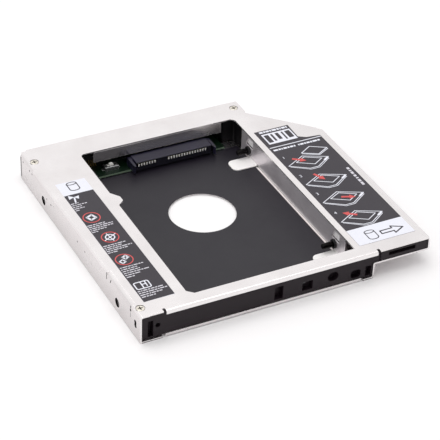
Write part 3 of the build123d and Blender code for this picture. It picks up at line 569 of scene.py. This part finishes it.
def open_mesh():
    """The active piece is opened for shaping, all of it selected."""
    bpy.ops.object.mode_set(mode="EDIT")
    bpy.ops.mesh.select_all(action="SELECT")


def close_mesh():
    """The active piece is closed again."""
    bpy.ops.object.mode_set(mode="OBJECT")


def raise_shape(bottom, top):
    """The flat shape being edited gets its thickness, with its faces outwards."""
    bpy.ops.mesh.select_all(action="SELECT")
    bpy.ops.mesh.extrude_region_move(TRANSFORM_OT_translate={"value": (0, 0, (top - bottom) * MM)})
    bpy.ops.mesh.select_all(action="SELECT")
    bpy.ops.mesh.normals_make_consistent(inside=False)
    close_mesh()


def keep_outline(stroke):
    """Only a border of the flat shape being edited stays, as wide as the stroke."""
    bpy.ops.mesh.inset(thickness=stroke * MM)
    bpy.ops.mesh.delete(type="ONLY_FACE")


def coat(piece, finish):
    """The piece has this finish alone."""
    piece.data.materials.clear()
    piece.data.materials.append(finish)


def name_piece(piece, name):
    """The piece and its mesh share a name."""
    piece.name = name
    piece.data.name = name


def join_pieces(pieces):
    """The pieces become one."""
    bpy.ops.object.select_all(action="DESELECT")
    for piece in pieces:
        piece.select_set(True)
    bpy.context.view_layer.objects.active = pieces[0]
    if len(pieces) > 1:
        bpy.ops.object.join()
    return bpy.context.object


def soft_block(place, size, rounding):
    """Block with rounded edges, its middle at a place in the shared frame, all in millimetres."""
    bpy.ops.object.select_all(action="DESELECT")
    bpy.ops.mesh.primitive_cube_add(size=1, location=[value * MM for value in place])
    block = bpy.context.object
    block.scale = [value * MM for value in size]
    settle(block)
    open_mesh()
    bpy.ops.mesh.bevel(offset=rounding * MM, segments=2)
    close_mesh()
    return block


# Ink shapes, in millimetres from the front left corner


def patch(left, front, right, rear, bottom=FIELD_TOP, top=INK_TOP, corner=0.0, turn=0.0, stroke=0.0):
    """Rectangle of ink, with rounded corners, a turn about its middle, or only its outline."""
    bpy.ops.object.select_all(action="DESELECT")
    middle = spot_of((left + right) / 2, (front + rear) / 2, bottom)
    bpy.ops.mesh.primitive_plane_add(size=1, location=middle)
    piece = bpy.context.object
    piece.scale = ((right - left) * MM, (rear - front) * MM, 1)
    piece.rotation_euler.z = math.radians(turn)
    settle(piece)
    open_mesh()
    if corner:
        bpy.ops.mesh.bevel(offset=corner * MM, segments=3, affect="VERTICES")
        bpy.ops.mesh.select_all(action="SELECT")
    if stroke:
        keep_outline(stroke)
    raise_shape(bottom, top)
    return piece


def disc(x, y, radius, corners, stroke=0.0, turn=0.0):
    """Round dot with many corners, a ring when it has a stroke, or a three-cornered mark."""
    bpy.ops.object.select_all(action="DESELECT")
    bpy.ops.mesh.primitive_circle_add(
        vertices=corners,
        radius=radius * MM,
        fill_type="NGON",
        location=spot_of(x, y, FIELD_TOP),
    )
    piece = bpy.context.object
    piece.rotation_euler.z = math.radians(turn)
    settle(piece)
    open_mesh()
    if stroke:
        keep_outline(stroke)
    raise_shape(FIELD_TOP, INK_TOP)
    return piece


def pen_line(points, stroke, closed=False, under=0):
    """Straight strokes from point to point, the first of them a number of layers under the ink's top."""
    overlap = stroke * 0.35
    ends = points[1:] + points[:1] if closed else points[1:]
    strokes = []
    for number, ((x0, y0), (x1, y1)) in enumerate(zip(points, ends)):
        reach = math.hypot(x1 - x0, y1 - y0) / 2 + overlap
        x, y = (x0 + x1) / 2, (y0 + y1) / 2
        turn = math.degrees(math.atan2(y1 - y0, x1 - x0))
        level = 2 if closed and number == len(points) - 1 else number % 2
        top = INK_TOP - LAYER * (under + level)
        bar = patch(x - reach, y - stroke / 2, x + reach, y + stroke / 2, top=top, turn=turn)
        strokes.append(bar)
    return strokes


def arc_points(x, y, wide, deep, start, end, count):
    """Points on a flattened circle between two angles in degrees."""
    steps = [math.radians(start + (end - start) * i / count) for i in range(count + 1)]
    return [(x + wide * math.cos(step), y + deep * math.sin(step)) for step in steps]


def arrow(x, y, length, turn, thick=1.15):
    """Arrow with a shaft and a three-cornered head, by its middle and its turn in degrees."""
    across, along = math.cos(math.radians(turn)), math.sin(math.radians(turn))
    tail = (x - across * length / 2, y - along * length / 2)
    neck = (x + across * length / 6, y + along * length / 6)
    head_x, head_y = x + across * length / 4, y + along * length / 4
    head = disc(head_x, head_y, radius=thick * 1.5, corners=3, turn=turn - 90)
    return pen_line([tail, neck], thick, under=1) + [head]


def text_rows(left, rear, widths, pitch, height, start):
    """Rows of short bars like small print seen from afar; start picks the first bar's length."""
    lengths = (1.5, 0.8, 2.1, 1.1, 0.6, 1.7, 0.9)
    gap, least, row_shift = 0.32, 0.4, 3
    bars = []
    for row, width in enumerate(widths):
        y = rear - row * pitch
        x = left
        step = start + row * row_shift
        while x < left + width - least:
            length = min(lengths[step % len(lengths)], left + width - x)
            bars.append(patch(x, y - height, x + length, y))
            x += length + gap
            step += 1
    return bars


def drive_sign(x, y):
    """Sign of a drive: a drum with a flat oval top and a round foot."""
    half, top_y, foot_y = 2.15, y + 2.2, y - 1.9
    top = arc_points(x, top_y, half, 0.95, 0, 360, 20)
    foot = arc_points(x, foot_y, half, 1.2, 180, 360, 10)
    top_stroke, side_stroke = 0.38, 0.42
    side_lines = pen_line([(x - half, top_y)] + foot + [(x + half, top_y)], side_stroke, under=2)
    return pen_line(top, top_stroke) + side_lines


def number_sign(digit, x, y, height):
    """Plain step number."""
    font_per_height = 1.4
    bpy.ops.object.select_all(action="DESELECT")
    bpy.ops.object.text_add(location=spot_of(x, y, FIELD_TOP))
    sign = bpy.context.object
    sign.data.body = digit
    sign.data.size = height * MM * font_per_height
    sign.data.align_x = "CENTER"
    sign.data.align_y = "CENTER"
    bpy.ops.object.convert(target="MESH")
    sign = bpy.context.object
    settle(sign)
    bpy.ops.object.mode_set(mode="EDIT")
    raise_shape(FIELD_TOP, INK_TOP)
    return sign


def tray_drawing(x, y):
    """Line drawing of an open tray seen from one corner."""
    rim = [(x, y), (x + 9.0, y + 4.9), (x + 19.2, y), (x + 11.6, y - 5.0), (x + 7.8, y - 5.0)]
    bed = [(x + 4.3, y + 1.3), (x + 9.4, y + 3.9), (x + 16.0, y + 0.1), (x + 11.2, y - 2.8)]
    foot = [(x + 0.4, y - 0.8), (x + 7.7, y - 5.8), (x + 11.8, y - 5.8), (x + 18.8, y - 1.1)]
    stroke, foot_stroke = 0.36, 0.3
    lines = pen_line(rim, stroke, closed=True, under=4) + pen_line(bed, stroke, closed=True, under=4)
    lines += pen_line(foot, foot_stroke, under=7)
    corner_mark = patch(x + 16.1, y - 1.5, x + 18.9, y - 0.5, top=INK_TOP - 3 * LAYER, turn=33)
    return lines + [corner_mark]


# Labels: a thin backing with fields and ink on it


def edges_of(low, high):
    """Left, front, right and rear end of a box, in millimetres from the front left corner."""
    left, right = low.x / MM + HALF_WIDTH, high.x / MM + HALF_WIDTH
    front, rear = low.y / MM + HALF_DEPTH, high.y / MM + HALF_DEPTH
    return left, front, right, rear


def label_backing(node, name):
    """Plastic backing of a label, cut to the node's own outline."""
    same_place = 0.000002
    top_face_above = 12.65 * MM
    piece = frame["nodes"][node].copy()
    piece.data = piece.data.copy()
    bpy.context.collection.objects.link(piece)
    piece.parent = None
    piece.name = name
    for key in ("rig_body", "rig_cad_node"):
        if key in piece:
            del piece[key]
    only(piece)
    open_mesh()
    bpy.ops.mesh.remove_doubles(threshold=same_place)
    close_mesh()
    vertices = piece.data.vertices
    for vertex in vertices:
        vertex.select = vertex.co.z > top_face_above
    for edge in piece.data.edges:
        edge.select = all(vertices[i].select for i in edge.vertices)
    for face in piece.data.polygons:
        face.select = all(vertices[i].select for i in face.vertices)
    bpy.ops.object.mode_set(mode="EDIT")
    bpy.ops.transform.translate(value=(0, 0, (BACKING_TOP - INK_TOP) * MM))
    close_mesh()
    return piece


def lay_backing(node, name, finish):
    """The label's own solid gives way to a thinner one that the ink lies on."""
    backing = label_backing(node, name)
    coat(backing, finish)
    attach(backing, "shell")
    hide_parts(node)


def lean_over(piece, node, degrees):
    """The piece turns about the middle of a label, as the whole label does."""
    low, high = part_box(node)
    middle = (low + high) / 2
    turn = Matrix.Rotation(math.radians(degrees), 4, "Z")
    about_middle = Matrix.Translation(middle) @ turn @ Matrix.Translation(-middle)
    piece.matrix_world = about_middle @ piece.matrix_world
    settle(piece)


def join_ink(name, pieces, finish, node, degrees=0.0):
    """The shapes of one ink become one piece that rides on the shell."""
    piece = join_pieces(pieces)
    name_piece(piece, name)
    coat(piece, finish)
    if degrees:
        lean_over(piece, node, degrees)
    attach(piece, "shell")


def left_label_signs():
    """Light marks of the left label: a leaf, three signs in rings, and a panel."""
    leaves = [disc(6.9, 84.8, 1.6, corners=3, turn=20), disc(9.6, 84.1, 1.4, corners=3, turn=70)]
    stalk = pen_line([(8.3, 84.0), (7.6, 80.9)], 0.7, under=2)
    tile = patch(7.3, 66.5, 10.9, 70.0, corner=0.3, turn=24, stroke=0.95)
    wheel = [disc(10.4, 52.6, 2.1, corners=24, stroke=0.5)]
    wheel += pen_line([(7.7, 51.2), (13.1, 54.0)], 0.45, under=1)
    wheel += pen_line([(10.9, 49.9), (9.9, 55.3)], 0.45, under=2)
    front_tile = patch(7.0, 34.2, 9.3, 36.6, corner=0.2, turn=28, stroke=0.6)
    rear_tile = patch(9.1, 36.5, 11.6, 38.9, top=INK_TOP - LAYER, corner=0.2, turn=28, stroke=0.75)
    panel = [patch(5.6, 16.1, 12.1, 20.9, corner=0.9, stroke=0.5)]
    for bar in ((8.4, 16.4, 8.9, 20.6), (10.2, 17.2, 10.7, 20.6), (8.9, 18.6, 10.2, 19.1)):
        panel.append(patch(*bar, top=INK_TOP - LAYER))
    return leaves + stalk + [tile] + wheel + [front_tile, rear_tile] + panel


def left_label_rows():
    """Small print in front of each sign of the left label."""
    rows = text_rows(5.1, 80.4, (3.4, 6.6, 4.2, 5.0, 2.2), pitch=1.28, height=0.5, start=0)
    rows += text_rows(5.1, 63.4, (8.2, 11.2, 10.2, 7.4, 3.0), pitch=1.22, height=0.52, start=2)
    rows += text_rows(5.2, 47.9, (9.6, 7.4, 11.4, 9.0, 4.2), pitch=1.22, height=0.52, start=5)
    rows += text_rows(5.3, 32.0, (9.9, 6.8, 7.4, 11.2, 6.4, 3.4), pitch=1.3, height=0.52, start=1)
    rows += text_rows(5.3, 15.4, (10.8, 12.0, 9.2, 6.4), pitch=1.28, height=0.56, start=3)
    return rows


def make_left_label():
    """White backing and, in front of its white rear end, a dark field with signs and small print."""
    left, front, right, rear = edges_of(*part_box("left_label"))
    left += LEFT_LEAN / 2
    right -= LEFT_LEAN / 2
    side_margin, front_margin, white_depth = 0.03, 0.06, 9.4
    turn = math.degrees(math.atan(LEFT_LEAN / (rear - front)))
    lay_backing("left_label", "left_label_backing", label_white)
    dark = patch(
        left + side_margin,
        front + front_margin,
        right - side_margin,
        rear - white_depth,
        bottom=BACKING_TOP,
        top=FIELD_TOP,
    )
    join_ink("left_label_dark_field", [dark], label_black, "left_label", turn)

    ring_middles = ((9.15, 68.2), (10.4, 52.6), (9.3, 36.5))
    rings = [disc(x, y, radius=3.7, corners=36, stroke=0.44) for x, y in ring_middles]
    join_ink("left_label_red_rings", rings, label_red, "left_label", turn)
    join_ink("left_label_light_marks", left_label_signs(), label_white, "left_label", turn)
    join_ink("left_label_small_print", left_label_rows(), label_grey, "left_label", turn)
    join_ink("left_label_drive_sign", drive_sign(11.2, 92.2), label_black, "left_label", turn)


def right_label_steps():
    """Light marks of the four steps: a number and a tray each, and a loose lid over the first."""
    digit_x, digit_rise, tray_x = 101.3, 6.6, 100.3
    marks = []
    for digit, y in (("1", 69.2), ("2", 53.8), ("3", 39.2), ("4", 24.0)):
        marks.append(number_sign(digit, digit_x, y + digit_rise, height=1.7))
        marks += tray_drawing(tray_x, y)
    lid = [(110.2, 76.2), (115.8, 79.6), (122.4, 75.8), (116.8, 72.7)]
    lid_foot = [(110.2, 75.5), (116.8, 72.0), (122.4, 75.0)]
    return marks + pen_line(lid, 0.42, closed=True, under=9) + pen_line(lid_foot, 0.36, under=12)


def right_label_heading(left, right, rear):
    """Light line and rows of bars at the rear end of the right label."""
    line_y, rows_y = 84.9, 83.2
    marks = pen_line([(left + 0.7, line_y), (right - 0.5, line_y)], 0.5)
    marks += text_rows(left + 1.2, rows_y, (10.6,), pitch=1.0, height=1.15, start=2)
    marks += text_rows(left + 13.2, rows_y, (10.8,), pitch=1.0, height=1.15, start=4)
    marks += text_rows(left + 1.9, rear - 0.7, (13.6,), pitch=1.0, height=1.3, start=5)
    return marks


def right_label_side_bars():
    """A column of small bars at the right edge of the right label."""
    column = (122.0, 123.2)
    lengths = (1.5, 0.9, 1.8)
    bars = []
    for rank, y in enumerate((58.4, 56.3, 54.9, 52.4, 50.2, 48.6, 46.4, 45.0)):
        bars.append(patch(column[0], y - lengths[rank % len(lengths)], column[1], y))
    return bars


def right_label_dark_marks(left):
    """Dark marks on the white fields: a drive, an outlined arrow and upright bars."""
    marks = drive_sign(107.1, 11.4)
    shaft_foot, shaft_top, head_foot, head_top = 10.2, 12.2, 8.8, 13.6
    tail, neck, tip = 111.4, 117.0, 121.6
    outline = [(tail, shaft_foot), (neck, shaft_foot), (neck, head_foot), (tip, 11.2)]
    outline += [(neck, head_top), (neck, shaft_top), (tail, shaft_top)]
    marks += pen_line(outline, 0.6, closed=True)
    first_bar, bar_pitch, bars_foot, foot_step, bars_top = 3.7, 2.55, 88.9, 0.5, 95.0
    for rank, width in enumerate((2.2, 1.0, 1.6, 0.8, 2.4)):
        x = left + first_bar + bar_pitch * rank
        marks.append(patch(x - width / 2, bars_foot + foot_step * (rank % 3), x + width / 2, bars_top))
    return marks


def make_right_label():
    """Black backing with a white field at each end, four drawn steps and a heading."""
    left, front, right, rear = edges_of(*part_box("right_label"))
    margin, front_depth = 0.03, 11.1
    box_left, box_right, box_front, box_rear = left + 1.9, left + 15.8, 87.7, 96.0
    lay_backing("right_label", "right_label_backing", label_black)
    white = [
        patch(left + margin, front + margin, right - margin, front + front_depth, BACKING_TOP, FIELD_TOP),
        patch(box_left, box_front, box_right, box_rear, BACKING_TOP, FIELD_TOP),
    ]
    join_ink("right_label_white_fields", white, label_white, "right_label")

    light = right_label_steps() + right_label_heading(left, right, rear)
    red = []
    for x, y, length, turn in (
        (106.8, 72.0, 5.4, -35),
        (108.4, 57.0, 5.4, -65),
        (112.1, 38.9, 5.2, -22),
        (106.4, 27.8, 5.4, 145),
    ):
        red += arrow(x, y, length, turn)
    join_ink("right_label_light_marks", light, label_white, "right_label")
    join_ink("right_label_red_arrows", red, label_red, "right_label")
    join_ink("right_label_small_print", right_label_side_bars(), label_grey, "right_label")
    join_ink("right_label_dark_marks", right_label_dark_marks(left), label_black, "right_label")


# Tips of the contacts in the mouth of the drive connector, near white as a painted highlight


def make_contact_tips(node, name):
    """A row of narrow tips, one at the front end of each contact."""
    pitch, half_contact = 1.27, 0.3
    tip_y, tip_z = 43.7, 4.76
    low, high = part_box(node)
    left = low.x / MM
    row_width = (high.x - low.x) / MM
    count = round((row_width - 2 * half_contact) / pitch) + 1
    tips = []
    for number in range(count):
        place = (left + half_contact + pitch * number, tip_y, tip_z)
        tips.append(soft_block(place, size=(0.52, 0.2, 1.2), rounding=0.07))
    row = join_pieces(tips)
    name_piece(row, name)
    coat(row, contact_tip_highlight)
    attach(row, "shell")


# Flaps behind the windows of the sliding bracket, near white as a painted highlight; they move with the
# bracket


def make_window_flap(name, pin_y, pin_z):
    """Flap behind one window, placed from the middle of the pin below it, given in metres."""
    flap_x, nearer_front, above_pin = 33.28, 0.25, 4.13
    place = (flap_x, pin_y / MM - nearer_front, pin_z / MM + above_pin)
    flap = soft_block(place, size=(0.16, 6.8, 3.66), rounding=0.05)
    name_piece(flap, name)
    coat(flap, flap_highlight_sheet)
    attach(flap, "carriage")


# All new pieces


make_left_label()
make_right_label()
pins_low, pins_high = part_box("drive_pins")
pin_radius = (pins_high.z - pins_low.z) / 2
make_window_flap("front_window_flap", pins_low.y + pin_radius, pins_low.z + pin_radius)
make_window_flap("rear_window_flap", pins_high.y - pin_radius, pins_low.z + pin_radius)
make_contact_tips("signal_contacts", "signal_contact_tips")
make_contact_tips("power_contacts", "power_contact_tips")


# Pale floor, studio light and camera


def camera_rays(nodes, links):
    """1 for rays that the camera sees, straight or in metal and glass, and 0 for light that falls."""
    path = nodes.new("ShaderNodeLightPath")
    seen = path.outputs["Is Camera Ray"]
    for name in ("Is Glossy Ray", "Is Transmission Ray"):
        either = nodes.new("ShaderNodeMath")
        either.operation = "MAXIMUM"
        links.new(seen, either.inputs[0])
        links.new(path.outputs[name], either.inputs[1])
        seen = either.outputs[0]
    return seen


def lay_floor():
    """White paper floor that keeps the caddy's shadow."""
    floor_size = 6.0
    bpy.ops.object.select_all(action="DESELECT")
    bpy.ops.mesh.primitive_plane_add(size=floor_size, location=(0, 0, 0))
    floor = bpy.context.object
    floor.name = "studio_floor"
    paper = bpy.data.materials.new("studio_paper")
    paper.use_nodes = True
    nodes = paper.node_tree.nodes
    links = paper.node_tree.links
    nodes.remove(nodes["Principled BSDF"])
    matt = nodes.new("ShaderNodeBsdfDiffuse")
    matt.inputs["Color"].default_value = tone(252, 251, 251)
    links.new(matt.outputs["BSDF"], nodes["Material Output"].inputs["Surface"])
    floor.data.materials.append(paper)


def hang_world():
    """Soft light from all sides, which the camera and mirrors see as plain white."""
    fill_colour, fill_strength = (1.0, 0.985, 0.99, 1), 0.68
    white_colour, white_strength = (1, 1, 1, 1), 1.0
    world = bpy.data.worlds.new("studio_world")
    bpy.context.scene.world = world
    world.use_nodes = True
    nodes = world.node_tree.nodes
    links = world.node_tree.links
    fill = nodes["Background"]
    fill.inputs["Color"].default_value = fill_colour
    fill.inputs["Strength"].default_value = fill_strength
    white = nodes.new("ShaderNodeBackground")
    white.inputs["Color"].default_value = white_colour
    white.inputs["Strength"].default_value = white_strength
    blend = nodes.new("ShaderNodeMixShader")
    links.new(camera_rays(nodes, links), blend.inputs["Fac"])
    links.new(fill.outputs["Background"], blend.inputs[1])
    links.new(white.outputs["Background"], blend.inputs[2])
    links.new(blend.outputs["Shader"], nodes["World Output"].inputs["Surface"])


def hang_lamp(name, place, size, power):
    """Square lamp that points at the middle of the floor; metres and watts."""
    lamp = bpy.data.lights.new(name, "AREA")
    lamp.shape = "SQUARE"
    lamp.size = size
    lamp.energy = power
    holder = bpy.data.objects.new(name, lamp)
    bpy.context.collection.objects.link(holder)
    aim = (-Vector(place)).to_track_quat("-Z", "Y")
    holder.matrix_world = Matrix.Translation(place) @ aim.to_matrix().to_4x4()


def set_camera():
    """The camera of the photo: its place in metres, and its turn, rise and roll in degrees."""
    place = (-0.281297, -0.541874, 0.425196)
    turn, rise, roll = (math.radians(value) for value in (-27.517, 34.910, 2.031))
    camera = bpy.data.cameras.new("photo_camera")
    camera.lens = 145.34
    camera.sensor_width = 36.0
    camera.clip_start = 0.01
    holder = bpy.data.objects.new("photo_camera", camera)
    bpy.context.collection.objects.link(holder)
    back = Vector((math.sin(turn) * math.cos(rise), -math.cos(turn) * math.cos(rise), math.sin(rise)))
    right = (-back).cross(Vector((0, 0, 1))).normalized()
    up = right.cross(-back)
    rolled_right = math.cos(roll) * right + math.sin(roll) * up
    rolled_up = -math.sin(roll) * right + math.cos(roll) * up
    rotation = Matrix((rolled_right, rolled_up, back)).transposed().to_4x4()
    holder.matrix_world = Matrix.Translation(place) @ rotation
    bpy.context.scene.camera = holder


lay_floor()
hang_world()
hang_lamp("overhead_softbox", place=(-0.12, 0.16, 1.4), size=1.3, power=9.9)
hang_lamp("left_fill", place=(-1.0, -0.5, 0.6), size=0.8, power=1.2)
set_camera()

view_settings = bpy.context.scene.view_settings
view_settings.view_transform = "Standard"
